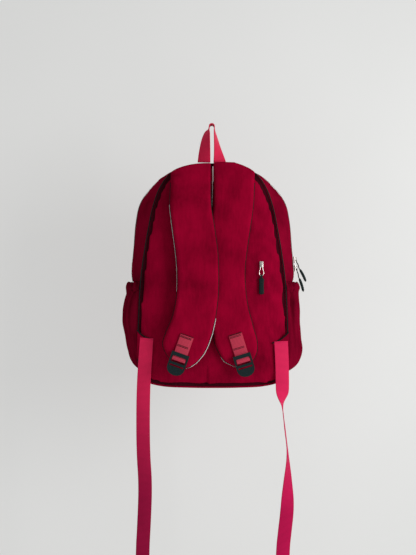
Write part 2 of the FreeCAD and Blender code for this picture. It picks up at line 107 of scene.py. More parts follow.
# Adjuster routes in metres, and how far each webbing is turned at a height: (height, degrees)
ADJUSTERS = {
    "left": [(-0.1195, -0.011, -0.393), (-0.123, -0.0125, -0.44), (-0.126, -0.014, -0.5),
             (-0.126, -0.014, -0.6), (-0.1215, -0.014, -0.66), (-0.124, -0.014, -0.73),
             (-0.1275, -0.014, -0.79), (-0.1275, -0.014, -0.87)],
    "right": [(0.127, -0.011, -0.399), (0.129, -0.0125, -0.44), (0.1295, -0.014, -0.488),
              (0.129, -0.014, -0.516), (0.134, -0.014, -0.56), (0.1395, -0.014, -0.604),
              (0.139, -0.014, -0.66), (0.1385, -0.014, -0.706), (0.134, -0.014, -0.745),
              (0.1295, -0.014, -0.785), (0.128, -0.014, -0.87)],
}
ADJUSTER_TURNS = {
    "left": [(-0.393, 0), (-0.87, 0)],
    "right": [(-0.393, 0), (-0.44, 4), (-0.488, 12), (-0.516, 80), (-0.56, 84), (-0.604, 80),
              (-0.66, 45), (-0.706, 8), (-0.745, 0), (-0.87, 0)],
}
SHADE_TOP, SHADE_LOW = -0.43, -0.68      # heights in metres between which the webbings' colour darkens: painted shade toward their hanging ends

# Haul loop: (x, z, turn in degrees) up each leg; the right one runs straighter
LOOP_LEG = [(-14.4, -69.4, 16), (-13.7, -57, 25), (-12.6, -42, 38), (-10.9, -26, 52), (-8.4, -13.5, 67),
            (-5.9, -7.5, 84), (-4.8, -4.0, 90)]
LOOP_RIGHT = [(14.7, -69.4, 20), (12.9, -57, 42), (10.4, -42, 60), (7.8, -26, 73), (5.7, -13.5, 83),
              (4.9, -7.5, 88), (4.8, -4.0, 90)]
LOOP_HALF, LOOP_T, LOOP_R = 12.3, 1.6, 4.8
LOOP_TOP_Z = -4.0

# Side pockets: (height, distance from the bag's centre)
POCKETS = {
    "left": (-1, [(-293, 163.5), (-309, 163.5), (-322, 167), (-345, 171), (-368, 171.5), (-392, 166.5),
                  (-420, 162), (-444, 153), (-466, 130)]),
    "right": (1, [(-293, 163), (-309, 163), (-322, 163), (-345, 164.5), (-372, 165.5), (-400, 168),
                  (-418, 170), (-434, 167), (-450, 156), (-470, 128)]),
}
POCKET_Y, POCKET_HALF, POCKET_BULGE = 54.0, 62.0, 46.0
HEM_TOP, HEM_LOW = -292.0, -311.0

HIDDEN_X, HIDDEN_TOP, HIDDEN_LOW = 91.0, -246.0, -407.0
HIDDEN_WIRE = Vector((91.0, -14.1, -259.2))
# Its drop-shaped link, half of it: (distance from centre, height)
HIDDEN_LINK = [(0, 0.2), (1.7, -0.5), (2.5, -7), (4.05, -13.8), (3.2, -17.7), (0, -19.3)]
FRONT_POCKET = [(-105, -318), (105, -318), (110, -330), (110, -440), (98, -455), (-98, -455), (-110, -440),
                (-110, -330)]
FRONT_Y = 158.0
FRONT_ZIP_Z = -335.0
ARCH_COUNT = 230                     # points along the arch of each cloth piece
CLOTH_T, SEAM_ALLOWANCE = 1.2, 5.0
PAD_VOXEL, PUFF_FRAMES = 5.0, 20
WALL_Y, FLOOR_Z = 0.34, -1.0
# Main pulls: place of the wire, the grip's shift along the zip's tape, its outward tilt
MAIN_WIRES = {
    "upper": (Vector((161.24, 60.92, -248.6)), 3.2, 25.0),
    "lower": (Vector((162.59, 61.74, -265.1)), -3.2, 16.0),
}
MAIN_CORD, MAIN_GRIP = 19.0, 27.0
FRONT_WIRE = Vector((-74.0, 165.9, -335.0))


# ---------------------------------------------------------------- curves and grids
def catmull(a, b, c, d, t):
    """Catmull-Rom point between b and c, for numbers, tuples or vectors."""
    if isinstance(b, (int, float)):
        square, cube = 2 * a - 5 * b + 4 * c - d, 3 * b - a - 3 * c + d
        return 0.5 * (2 * b + (c - a) * t + square * t * t + cube * t ** 3)
    numbers = [catmull(*q, t) for q in zip(a, b, c, d)]
    return tuple(numbers) if isinstance(b, tuple) else Vector(numbers)


def along_rows(rows, u):
    """Row at share u of an open list of number tuples."""
    at = min(max(u, 0.0), 1.0) * (len(rows) - 1)
    i = min(int(at), len(rows) - 2)
    return catmull(rows[max(0, i - 1)], rows[i], rows[i + 1], rows[min(len(rows) - 1, i + 2)], at - i)


def at_height(rows, z):
    """Row at height z of a list whose first number is a falling height."""
    for i in range(len(rows) - 1):
        if z >= rows[i + 1][0] or i == len(rows) - 2:
            t = (rows[i][0] - z) / (rows[i][0] - rows[i + 1][0])
            t = min(max(t, 0.0), 1.0)
            return catmull(rows[max(0, i - 1)], rows[i], rows[i + 1], rows[min(len(rows) - 1, i + 2)], t)


def smoothstep(x):
    x = min(max(x, 0.0), 1.0)
    return x * x * (3 - 2 * x)


def rough_noise(x, y, z, seed=0.0):
    return noise.noise(Vector((x + seed, y - seed, z + 2 * seed)))


def depth(z):
    return DEPTH_TOP + (DEPTH_LOW - DEPTH_TOP) * (TOP_Z - z) / (TOP_Z - BASE_Z)


def ring_points(s, grow=0.0):
    """The bag's closed outline at depth share s, grown outward."""
    wb, wm, wf = (s - 0.5) * (s - 1) / 0.5, s * (1 - s) / 0.25, s * (s - 0.5) / 0.5
    half = [tuple(wb * b[k] + wm * m[k] + wf * f[k] for k in (0, 1)) for b, m, f in zip(BACK, MID, FRONT)]
    ring = half + [(-x, z) for x, z in half[-2:0:-1]]
    out = []
    for i, (x, z) in enumerate(ring):
        (ax, az), (cx, cz) = ring[i - 1], ring[(i + 1) % len(ring)]
        size = math.hypot(cx - ax, cz - az)
        x, z = x - (cz - az) / size * grow, z + (cx - ax) / size * grow
        out.append(Vector((BAG_X + x, s * depth(z), z)))
    return out


def on_ring(ring, u):
    at = (u % 1.0) * len(ring)
    i = int(at)
    return catmull(*[ring[(i + k) % len(ring)] for k in (-1, 0, 1, 2)], at - i)


def crossing(ring, z, low, high):
    """Place between low and high where the ring reaches height z."""
    falling = on_ring(ring, low).z > on_ring(ring, high).z
    for _ in range(30):
        middle = (low + high) / 2
        if (on_ring(ring, middle).z > z) == falling:
            low = middle
        else:
            high = middle
    return low


def arc(s, part, count, grow=0.0):
    """Points of the outline: over is the arch above the fold, under runs round the bottom, all is closed."""
    ring = ring_points(s, grow)
    if part == "all":
        return [on_ring(ring, i / count) for i in range(count)]
    right = crossing(ring, FOLD_Z, 0.02, 0.48)
    left = crossing(ring, FOLD_Z, 0.52, 0.98)
    start, end = (left - 1.0, right) if part == "over" else (right, left)
    return [on_ring(ring, start + (end - start) * i / (count - 1)) for i in range(count)]


def wall_half_width(z, y):
    """Distance of the bag's wall from its centre plane at a height and a depth."""
    s = min(max(y / depth(z), 0.0), 1.0)
    ring = ring_points(s)
    return on_ring(ring, crossing(ring, z, 0.02, 0.48)).x - BAG_X


def arch_height(x):
    """Height of the back panel's top edge."""
    ring = ring_points(0.0)
    low, high = 0.0, 0.3
    for _ in range(24):
        middle = (low + high) / 2
        if on_ring(ring, middle).x - BAG_X < abs(x - BAG_X):
            low = middle
        else:
            high = middle
    return on_ring(ring, low).z


def grid(rows, closed_rows=False, closed_columns=False):
    """Points and faces of a grid; closed_columns joins a row's ends, closed_rows the last and first row."""
    width = len(rows[0])
    points = [p for row in rows for p in row]
    faces = []
    for r in range(len(rows) - (0 if closed_rows else 1)):
        for c in range(width - (0 if closed_columns else 1)):
            d, e = (r + 1) % len(rows), (c + 1) % width
            faces.append((r * width + c, r * width + e, d * width + e, d * width + c))
    return points, faces


def merged(*parts):
    points, faces = [], []
    for more, polygons in parts:
        faces += [tuple(i + len(points) for i in f) for f in polygons]
        points += more
    return points, faces


def shrunk(rim, centre, share, y):
    """A rim drawn in to a share of its size about a centre, at depth y."""
    return [Vector((centre.x + (p.x - centre.x) * share, y, centre.z + (p.z - centre.z) * share))
            for p in rim]


def fan(row, centre):
    """Faces that close a ring of points onto a centre."""
    n = len(row)
    return row + [centre], [(i, (i + 1) % n, n) for i in range(n)]


# ---------------------------------------------------------------- pieces
def piece(name, shape, material, body, scale=MM, uv=None):
    """Makes a mesh object from (points, faces), gives it a material, and rides it on a body."""
    points, faces = shape
    mesh = bpy.data.meshes.new(name)
    mesh.from_pydata([Vector(p) * scale for p in points], [], faces)
    if uv:
        layer = mesh.uv_layers.new(name="strip")
        for loop in mesh.loops:
            layer.data[loop.index].uv = uv[loop.vertex_index]
    mesh.validate()
    mesh.materials.append(material)
    for polygon in mesh.polygons:
        polygon.use_smooth = True
    obj = bpy.data.objects.new(name, mesh)
    bpy.context.collection.objects.link(obj)
    if body:
        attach(obj, body)
    return obj


def outward(obj):
    """Turns all faces of a closed piece outward."""
    work = bmesh.new()
    work.from_mesh(obj.data)
    bmesh.ops.remove_doubles(work, verts=work.verts, dist=1e-5)
    bmesh.ops.recalc_face_normals(work, faces=work.faces)
    work.to_mesh(obj.data)
    work.free()
    return obj


def push(obj, amount):
    """Moves each point along its normal by amount(point in mm), in mm."""
    mesh = obj.data
    moves = [n.vector * amount(v.co / MM) * MM for v, n in zip(mesh.vertices, mesh.vertex_normals)]
    for vertex, move in zip(mesh.vertices, moves):
        vertex.co += move
    mesh.update()
    return obj


def thicken(obj, thickness, offset=-1.0):
    solid = obj.modifiers.new("thickness", "SOLIDIFY")
    solid.thickness = thickness * MM
    solid.offset = offset
    return obj


def subdivide(obj, levels=1):
    modifier = obj.modifiers.new("smooth", "SUBSURF")
    modifier.levels = modifier.render_levels = levels
    return obj


def soften(obj, width):
    bevel = obj.modifiers.new("bevel", "BEVEL")
    bevel.width = width * MM
    bevel.segments = 3
    bevel.limit_method = "ANGLE"
    return obj


def inflate(obj, pressure, cap, hold):
    """Puffs a pad with a short cloth simulation. No point moves further than cap times hold(point in mm)."""
    remesh = obj.modifiers.new("remesh", "REMESH")
    remesh.mode = "VOXEL"
    remesh.voxel_size = PAD_VOXEL * MM
    graph = bpy.context.evaluated_depsgraph_get()
    even = bpy.data.meshes.new_from_object(obj.evaluated_get(graph))
    obj.modifiers.clear()
    obj.data = even
    start = [v.co.copy() for v in even.vertices]
    cloth = obj.modifiers.new("cloth", "CLOTH")
    cloth.settings.quality = 4
    cloth.settings.use_pressure = True
    cloth.settings.uniform_pressure_force = pressure
    cloth.settings.effector_weights.gravity = 0
    cloth.point_cache.frame_start = 1
    cloth.point_cache.frame_end = PUFF_FRAMES
    for number in range(1, PUFF_FRAMES + 1):
        bpy.context.scene.frame_set(number)
    puffed = bpy.data.meshes.new_from_object(obj.evaluated_get(bpy.context.evaluated_depsgraph_get()))
    obj.modifiers.remove(cloth)
    for vertex, old, new in zip(even.vertices, start, puffed.vertices):
        move = new.co - old
        limit = cap * MM * hold(old / MM)
        if move.length > limit:
            move.length = limit
        vertex.co = old + move
    bpy.data.meshes.remove(puffed)
    bpy.context.scene.frame_set(1)
    for polygon in even.polygons:
        polygon.use_smooth = True
    return subdivide(obj)


def tube(points, radius, sides=10, closed=False):
    """Round tube through points; radius is a number or one number for each point."""
    radii = radius if isinstance(radius, (list, tuple)) else [radius] * len(points)
    rows = []
    side = None
    for i, p in enumerate(points):
        before = points[i - 1] if i or closed else p
        after = points[(i + 1) % len(points)] if i < len(points) - 1 or closed else p
        along = (after - before).normalized()
        if side is None:
            side = along.orthogonal().normalized()
        side = (side - along * side.dot(along)).normalized()
        other = along.cross(side)
        turns = [2 * math.pi * k / sides for k in range(sides)]
        rows.append([p + (side * math.cos(a) + other * math.sin(a)) * radii[i] for a in turns])
    if closed:
        return grid(rows, closed_rows=True, closed_columns=True)
    body = grid(rows, closed_columns=True)
    start = fan(rows[0][::-1], points[0] + (points[0] - points[1]).normalized() * radii[0] * 0.4)
    end = fan(rows[-1], points[-1] + (points[-1] - points[-2]).normalized() * radii[-1] * 0.4)
    return merged(body, start, end)


def beads(segments, radius, sides=6):
    """Short rounded pegs between pairs of points: stitches and zip teeth."""
    parts = []
    for a, b in segments:
        cut = [a + (b - a) * t for t in (0.0, 0.2, 0.8, 1.0)]
        parts.append(tube(cut, [radius * 0.55, radius, radius, radius * 0.55], sides))
    return merged(*parts)


def spaced(points, pitch):
    """Points at even spacing along a line of points."""
    out, carry = [points[0]], 0.0
    for a, b in zip(points, points[1:]):
        length = (b - a).length
        at = pitch - carry
        while at <= length:
            out.append(a + (b - a) * (at / length))
            at += pitch
        carry = length - (at - pitch)
    return out


def stitch_line(points, pitch=3.0, share=0.68):
    """Segments of a running stitch along a line."""
    marks = spaced(points, pitch)
    return [(a, a + (b - a) * share) for a, b in zip(marks, marks[1:])]


WEB_SECTION = [(-1, 0), (-0.985, 0.8), (-0.93, 1), (0, 1), (0.93, 1), (0.985, 0.8), (1, 0), (0.985, -0.8),
               (0.93, -1), (0, -1), (-0.93, -1), (-0.985, -0.8)]


def ribbon(name, centres, widths, half, thickness, material, body, scale=MM):
    """Flat webbing along centres; widths are unit vectors across it. Its UV is (across, along) in metres."""
    rows, uv, run = [], [], 0.0
    for i, (p, width) in enumerate(zip(centres, widths)):
        before, after = centres[max(0, i - 1)], centres[min(len(centres) - 1, i + 1)]
        along = (after - before).normalized()
        width = (width - along * width.dot(along)).normalized()
        normal = along.cross(width)
        if i:
            run += (p - centres[i - 1]).length * scale
        rows.append([p + width * (half * a) + normal * (thickness / 2 * b) for a, b in WEB_SECTION])
        uv += [(half * a * scale, run) for a, b in WEB_SECTION]
    points, faces = grid(rows, closed_columns=True)
    last = len(points) - len(WEB_SECTION)
    faces.append(tuple(range(len(WEB_SECTION)))[::-1])
    faces.append(tuple(range(last, len(points))))
    return piece(name, (points, faces), material, body, scale, uv)


def refined(rows, fine):
    """Open list of number tuples with Catmull-Rom steps between."""
    count = (len(rows) - 1) * fine
    return [along_rows(rows, i / count) for i in range(count + 1)]


# ---------------------------------------------------------------- materials
def srgb(r, g, b):
    def linear(c):
        c /= 255
        return c / 12.92 if c <= 0.04045 else ((c + 0.055) / 1.055) ** 2.4
    return (linear(r), linear(g), linear(b), 1.0)


class Shader:
    """A Principled material with short calls for the nodes round it."""

    def __init__(self, name, roughness, specular=0.3, metallic=0.0, sheen=0.0, sheen_tint=None):
        self.material = bpy.data.materials.new(name)
        self.material.use_nodes = True
        self.tree = self.material.node_tree
        self.bsdf = self.tree.nodes["Principled BSDF"]
        self.set("Roughness", roughness)
        self.set("Specular IOR Level", specular)
        self.set("Metallic", metallic)
        self.set("Sheen Weight", sheen)
        if sheen_tint:
            self.set("Sheen Tint", sheen_tint)
            self.set("Sheen Roughness", 0.5)
        self.position = self.node("ShaderNodeTexCoord").outputs["Object"]

    def set(self, socket, value):
        self.bsdf.inputs[socket].default_value = value

    def node(self, kind, **values):
        made = self.tree.nodes.new(kind)
        for key, value in values.items():
            if hasattr(made, key):
                setattr(made, key, value)
            else:
                made.inputs[key.replace("_", " ")].default_value = value
        return made

    def link(self, a, b):
        self.tree.links.new(a, b)

    def stretched(self, scale, turn=(0, 0, 0)):
        mapping = self.node("ShaderNodeMapping")
        mapping.inputs["Scale"].default_value = scale
        mapping.inputs["Rotation"].default_value = turn
        self.link(self.position, mapping.inputs["Vector"])
        return mapping.outputs["Vector"]

    def noise(self, scale, detail=3.0, source=None):
        made = self.node("ShaderNodeTexNoise", Scale=scale, Detail=detail)
        self.link(source or self.position, made.inputs["Vector"])
        return made.outputs["Fac"]

    def bands(self, pitch, direction, source=None):
        """Sine bands; pitch in millimetres."""
        made = self.node("ShaderNodeTexWave", bands_direction=direction, Scale=math.pi / (10 * pitch * MM))
        self.link(source or self.position, made.inputs["Vector"])
        return made.outputs["Fac"]

    def math(self, operation, a, b):
        made = self.node("ShaderNodeMath", operation=operation)
        for socket, value in zip(made.inputs, (a, b)):
            if isinstance(value, (int, float)):
                socket.default_value = value
            else:
                self.link(value, socket)
        return made.outputs[0]

    def ramp(self, fac, stops):
        made = self.node("ShaderNodeValToRGB")
        elements = made.color_ramp.elements
        while len(elements) < len(stops):
            elements.new(0.5)
        for element, (place, colour) in zip(elements, stops):
            element.position = place
            element.color = colour
        self.link(fac, made.inputs["Fac"])
        return made.outputs["Color"]

    def falling(self, top, low):
        """0 at height top and above, 1 at height low and below, in metres."""
        split = self.node("ShaderNodeSeparateXYZ")
        self.link(self.position, split.inputs["Vector"])
        share = self.node("ShaderNodeMapRange", From_Min=top, From_Max=low)
        self.link(split.outputs["Z"], share.inputs["Value"])
        return share.outputs["Result"]

    def multiply(self, a, b):
        made = self.node("ShaderNodeMix", data_type="RGBA", blend_type="MULTIPLY")
        made.inputs[0].default_value = 1.0
        self.link(a, made.inputs[6])
        self.link(b, made.inputs[7])
        return made.outputs[2]

    def colour(self, output):
        self.link(output, self.bsdf.inputs["Base Color"])

    def bump(self, height, distance, strength=1.0, under=None):
        made = self.node("ShaderNodeBump", Strength=strength, Distance=distance * MM)
        self.link(height, made.inputs["Height"])
        if under:
            self.link(under, made.inputs["Normal"])
        self.link(made.outputs["Normal"], self.bsdf.inputs["Normal"])
        return made.outputs["Normal"]


SHEEN_FACTOR = 1.6


def tinted(colour, factor):
    return (colour[0] * factor, colour[1] * factor, colour[2] * factor, 1.0)


def woven(name, colour, creases, pitch=1.1):
    """Plain-weave bag cloth with slubs, uneven dye and soft creases."""
    s = Shader(name, 0.85, specular=0.0, sheen=0.03, sheen_tint=tinted(colour, SHEEN_FACTOR))
    dye = s.noise(16.0, 4.0)
    slubs = s.noise(240.0, 2.0, s.stretched((1.0, 1.0, 0.22)))
    tone = s.math("ADD", s.math("MULTIPLY", dye, 0.75), s.math("MULTIPLY", slubs, 0.25))
    s.colour(s.ramp(tone, [(0.30, tinted(colour, 0.62)), (0.5, colour), (0.70, tinted(colour, 1.3))]))
    threads = s.math("ADD", s.bands(pitch, "X"), s.math("ADD", s.bands(pitch, "Y"), s.bands(pitch, "Z")))
    creased = s.bump(s.noise(34.0, 3.0, s.stretched((1.0, 1.0, 0.6), (0.0, 0.5, 0.0))), creases * 2.2, 0.5)
    s.bump(s.math("ADD", threads, s.math("MULTIPLY", slubs, 1.5)), 0.12, 0.6, creased)
    return s.material


def ribbed(name, colour, shaded_colour=None):
    """Webbing with ribs across it and a fine herringbone; its colour can darken toward its hanging end as
    painted shade.
    """
    s = Shader(name, 0.7, specular=0.1, sheen=0.06, sheen_tint=tinted(colour, SHEEN_FACTOR))
    strip = s.node("ShaderNodeUVMap", uv_map="strip").outputs["UV"]
    ribs = s.bands(2.1, "Y", strip)
    threads = s.bands(0.9, "X", strip)
    worn = s.noise(30.0, 3.0)
    tone = s.math("ADD", s.math("MULTIPLY", ribs, 0.6), s.math("MULTIPLY", worn, 0.4))
    dye_and_shade = s.ramp(tone, [(0.22, tinted(colour, 0.70)), (0.5, colour), (0.78, tinted(colour, 1.18))])
    # Painted shade: the second colour darkens the webbing toward its hanging end, between the two given
    # heights.
    if shaded_colour:
        share = [low / high for low, high in zip(shaded_colour, colour)]
        painted_shade = s.ramp(s.falling(SHADE_TOP, SHADE_LOW), [(0.0, (1, 1, 1, 1)), (1.0, share)])
        dye_and_shade = s.multiply(dye_and_shade, painted_shade)
    s.colour(dye_and_shade)
    s.bump(s.math("ADD", ribs, s.math("MULTIPLY", threads, 0.35)), 0.22, 0.8)
    return s.material


def plain_finish(name, dark, light, roughness, scale, depth_mm, specular=0.4, metallic=0.0):
    """Moulded, cast or knitted finish: mottled colour with a fine grain."""
    s = Shader(name, roughness, specular=specular, metallic=metallic)
    s.colour(s.ramp(s.noise(scale, 3.0), [(0.35, dark), (0.68, light)]))
    s.bump(s.noise(scale * 6, 2.0), depth_mm, 0.5)
    return s.material


def knitted(name, dark, light):
    """Open mesh lining: rows of small holes."""
    s = Shader(name, 0.8, specular=0.2)
    holes = s.node("ShaderNodeTexVoronoi", Scale=520.0, Randomness=0.15)
    s.link(s.position, holes.inputs["Vector"])
    s.colour(s.ramp(holes.outputs["Distance"], [(0.18, dark), (0.42, light)]))
    s.bump(holes.outputs["Distance"], 0.4, 0.7)
    return s.material


def zip_cloth(name, colour):
    s = Shader(name, 0.7, specular=0.2)
    s.colour(s.ramp(s.noise(120.0, 2.0), [(0.3, tinted(colour, 0.75)), (0.7, tinted(colour, 1.2))]))
    s.bump(s.math("ADD", s.bands(0.9, "X"), s.bands(0.9, "Z")), 0.12, 0.6)
    return s.material


CRIMSON = srgb(134, 4, 38)
PINK = srgb(214, 34, 84)
M = {
    "panel": woven("back_cloth", CRIMSON, creases=1.4),
    "strap": woven("strap_cloth", srgb(136, 4, 38), creases=0.8),
    "side": woven("side_cloth", srgb(116, 5, 33), creases=1.2),
    "pocket": woven("pocket_cloth", srgb(108, 5, 31), creases=1.8),
    # The second colour of each webbing is painted shade at its hanging end.
    "web_left": ribbed("webbing_left", srgb(212, 32, 80), srgb(146, 6, 56)),
    "web_right": ribbed("webbing_right", PINK, srgb(184, 12, 74)),
    "loop": ribbed("loop_webbing", srgb(202, 30, 70)),
    "stub": ribbed("lock_webbing", srgb(182, 54, 76)),
    "mesh": knitted("mesh_lining", srgb(120, 116, 116), srgb(214, 210, 208)),
    "lining": woven("lining_cloth", srgb(60, 14, 24), creases=1.6, pitch=0.8),
    "piping": plain_finish("piping_black", srgb(9, 7, 9), srgb(26, 22, 24), 0.6, 500.0, 0.08, specular=0.1),
    "lock": plain_finish("lock_plastic", srgb(10, 25, 27), srgb(19, 39, 40), 0.45, 900.0, 0.03,
                         specular=0.16),
    "grip": plain_finish("pull_rubber", srgb(9, 20, 20), srgb(20, 36, 36), 0.6, 700.0, 0.05, specular=0.12),
    "cord": plain_finish("pull_cord", srgb(16, 15, 17), srgb(38, 36, 39), 0.8, 900.0, 0.12, specular=0.1),
    "metal": plain_finish("zinc", srgb(188, 182, 176), srgb(240, 236, 230), 0.3, 700.0, 0.02, metallic=1.0),
    "tape": zip_cloth("zip_tape", srgb(96, 12, 34)),
    "coil": plain_finish("zip_coil", srgb(96, 26, 34), srgb(150, 52, 56), 0.42, 900.0, 0.03),
    "thread": plain_finish("thread", srgb(48, 10, 20), srgb(92, 18, 34), 0.7, 800.0, 0.03, specular=0.2),
}


# ---------------------------------------------------------------- bag body
def bag_creases(p):
    """Broad sag of the empty bag plus gathers that run across from the seams."""
    s = p.y / depth(p.z)
    away = smoothstep(p.y / 14)
    near_back = math.exp(-(p.y / 16) ** 2)
    near_zip = math.exp(-((s - ZIP_REAR_S) * depth(p.z) / 14) ** 2) if p.z > FOLD_Z else 0.0
    broad = 2.4 * rough_noise(p.x * 0.016, p.y * 0.022, p.z * 0.016, 3.1)
    gathers = rough_noise(p.x * 0.085, p.y * 0.014, p.z * 0.085, 7.7)
    fine = rough_noise(p.x * 0.2, p.y * 0.03, p.z * 0.2, 1.3)
    seams = (0.35 + near_back + near_zip) * (0.25 + away)
    return broad * away - 0.6 * away + (0.9 * gathers + 0.35 * fine) * seams


def make_bag_cloth():
    """Sides and bottom, with the seam allowance turned in behind the back pad."""
    over = [arc(0.0, "over", ARCH_COUNT, -SEAM_ALLOWANCE)]
    over += [arc(ZIP_REAR_S * i / 12, "over", ARCH_COUNT) for i in range(13)]
    under = [arc(0.0, "under", ARCH_COUNT, -SEAM_ALLOWANCE)]
    under += [arc(i / 28, "under", ARCH_COUNT) for i in range(29)]
    cloth = piece("bag_cloth", merged(grid(over), grid(under)), M["side"], "bag")
    outward(cloth)
    push(cloth, bag_creases)
    thicken(cloth, CLOTH_T)
    subdivide(cloth)
    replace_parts(cloth, "gusset_rear", "side_wall_left", "side_wall_right", "bottom_panel")


def make_flap_gusset():
    rows = [arc(ZIP_FRONT_S + (1 - ZIP_FRONT_S) * i / 10, "over", ARCH_COUNT) for i in range(11)]
    cloth = outward(piece("flap_gusset_cloth", grid(rows), M["side"], "flap"))
    push(cloth, lambda p: 0.9 * rough_noise(p.x * 0.09, p.y * 0.015, p.z * 0.09, 5.0))
    thicken(cloth, CLOTH_T)
    subdivide(cloth)
    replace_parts(cloth, "gusset_front")


def front_sag(p):
    """The front's quilting sags a little and pulls toward its rim."""
    inside = smoothstep((p.y - depth(p.z)) / 12)
    broad = 2.0 * rough_noise(p.x * 0.013, 0, p.z * 0.013, 11.0)
    pulls = 0.9 * rough_noise(p.x * 0.05, p.y * 0.02, p.z * 0.05, 4.0)
    return (broad - 0.8) * inside + pulls * (1 - 0.5 * inside)


def make_front_cloth():
    rim = arc(1.0, "all", 240)
    middle = Vector((BAG_X, 0, FOLD_Z))
    rows = []
    for share, forward in refined(DOME, 2):
        rows.append([Vector((p.x, depth(p.z) + forward, p.z)) for p in shrunk(rim, middle, share, 0)])
    centre = Vector((BAG_X, depth(FOLD_Z) + DOME[-1][1], FOLD_Z))
    cloth = piece("front_cloth", merged(grid(rows, closed_columns=True), fan(rows[-1], centre)),
                  M["panel"], None)
    outward(cloth)
    push(cloth, front_sag)
    thicken(cloth, CLOTH_T)
    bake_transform(cloth)
    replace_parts(cloth, "lower_front", "front_panel")


def panel_relief(p):
    """Undulations of the back panel's cloth, flatter round the hidden zip, and an upright fold at its foot."""
    if p.y > -3:
        return 0.0
    drape = 0.7 * rough_noise(p.x * 0.014 + p.z * 0.008, 0, p.z * 0.014 - p.x * 0.006, 21.0)
    folds = 1.3 * rough_noise(p.x * 0.05 - p.z * 0.02, 0, p.z * 0.025 + p.x * 0.012, 9.0)
    drawn = rough_noise(p.x * 0.040 + p.z * 0.034, 0, (p.z - p.x) * 0.008, 2.0)
    folds += 3.4 * drawn * smoothstep((p.x - 40) / 30)
    off_zip = max(abs(p.x - HIDDEN_X) - 7, HIDDEN_LOW - 8 - p.z, p.z - HIDDEN_TOP - 8)
    folds *= 0.1 + 0.9 * smoothstep(off_zip / 12)
    foot = smoothstep((-440 - p.z) / 12)
    fold = 1.7 * foot * math.tanh((p.x + 7) / 1.6) * math.exp(-((p.x + 7) / 10) ** 2)
    return drape + folds + fold


def baked(obj):
    """Applies the modifiers, so that later work sees the finer mesh."""
    fine = bpy.data.meshes.new_from_object(obj.evaluated_get(bpy.context.evaluated_depsgraph_get()))
    obj.modifiers.clear()
    obj.data = fine
    return obj


def make_back_panel():
    """Padded back: a pillow whose rim is caught in the piped seam."""
    profile = [(1.0, -1.0), (0.995, -3.4), (0.975, -5.6), (0.94, -7.0), (0.86, -8.0), (0.7, -8.6),
               (0.5, -8.9), (0.3, -9.0), (0.12, -9.0)]
    rim = arc(0.0, "all", 220, -2.0)
    centre = Vector((BAG_X, 0, FOLD_Z))
    rows = [shrunk(rim, centre, 0.9, -0.9)]
    rows += [shrunk(rim, centre, share, y) for share, y in refined(profile, 3)]
    back = fan(rows[0][::-1], centre + Vector((0, -0.9, 0)))
    front = fan(rows[-1], centre + Vector((0, -9.0, 0)))
    pad = outward(piece("back_pad", merged(grid(rows, closed_columns=True), back, front), M["panel"], "bag"))
    edge = wall_half_width(-400, 0)

    def hold(p):
        inner = 1 - max(abs(p.x - BAG_X) / edge, abs(p.z + 279) / 206)
        return smoothstep(inner / 0.12) if p.y < -3 else 0.0
    baked(inflate(pad, 3.0, 1.6, hold))
    push(pad, panel_relief)
    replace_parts(pad, "back_panel", "back_foam")


def make_piping():
    seam = [p + Vector((0, -2.6, 0)) for p in arc(0.0, "all", 300, -0.4)]
    foot = [p for p in seam if p.z < -462]
    sides = sorted((p for p in seam if p.z > -466), key=lambda p: math.atan2(p.x - BAG_X, p.z - FOLD_Z))
    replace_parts(piece("back_seam_piping", tube(sides, 1.15), M["piping"], "bag"), "back_piping")
    piece("foot_seam_piping", tube(foot, 1.5), M["panel"], "bag")
    over = [p + Vector((0, 2.0, 0)) for p in arc(1.0, "over", 200)]
    under = [p + Vector((0, 2.0, 0)) for p in arc(1.0, "under", 200)]
    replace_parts(piece("front_seam_piping", tube(over, 1.5), M["piping"], "flap"), "front_piping")
    piece("lower_seam_piping", tube(under, 1.5), M["piping"], "bag")


def make_main_zip():
    """Tapes and coil halves along the arched opening."""
    for word, body, s_from, s_to, s_root, s_tip in (
            ("rear", "bag", ZIP_REAR_S - 0.03, ZIP_S - 0.006, ZIP_S - 0.02, ZIP_S + 0.001),
            ("front", "flap", ZIP_FRONT_S + 0.03, ZIP_S + 0.006, ZIP_S + 0.02, ZIP_S - 0.001)):
        rows = [arc(s_from + (s_to - s_from) * i / 4, "over", ARCH_COUNT, -0.6 + 0.15 * i) for i in range(5)]
        tape = thicken(outward(piece("zip_tape_" + word, grid(rows), M["tape"], body)), 0.7)
        roots, tips = arc(s_root, "over", 900, 0.5), arc(s_tip, "over", 900, 0.5)
        first = 1 if word == "front" else 0
        pairs = list(zip(roots, tips))[2 + first:-2:2]
        piece("zip_coil_" + word, beads(pairs, 0.62), M["coil"], body)
        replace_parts(tape, "main_zip_" + word)
        edge = arc(s_from + (0.012 if word == "rear" else -0.012), "over", 400, 0.55)
        piece("zip_stitches_" + word, beads(stitch_line(edge), 0.3), M["thread"], body)


# ---------------------------------------------------------------- side pockets
def pocket_point(word, z, turn, grow=0.0):
    """Point of a side pocket; turn runs from -1 at its back edge to 1 at its front edge."""
    side, profile = POCKETS[word]
    reach = at_height(profile, z)[1]
    angle = turn * math.radians(66)
    x = reach - POCKET_BULGE + (POCKET_BULGE + grow) * math.cos(angle)
    y = POCKET_Y + (POCKET_HALF + grow) * math.sin(angle)
    caught = smoothstep((abs(turn) - 0.74) / 0.26)
    wall_y = max(y, 0.6)
    wall = wall_half_width(z, wall_y) + 0.9
    x = max(x + (wall + grow * 0.4 - x) * caught, wall)
    return Vector((BAG_X + side * x, y + (wall_y - y) * caught, z))


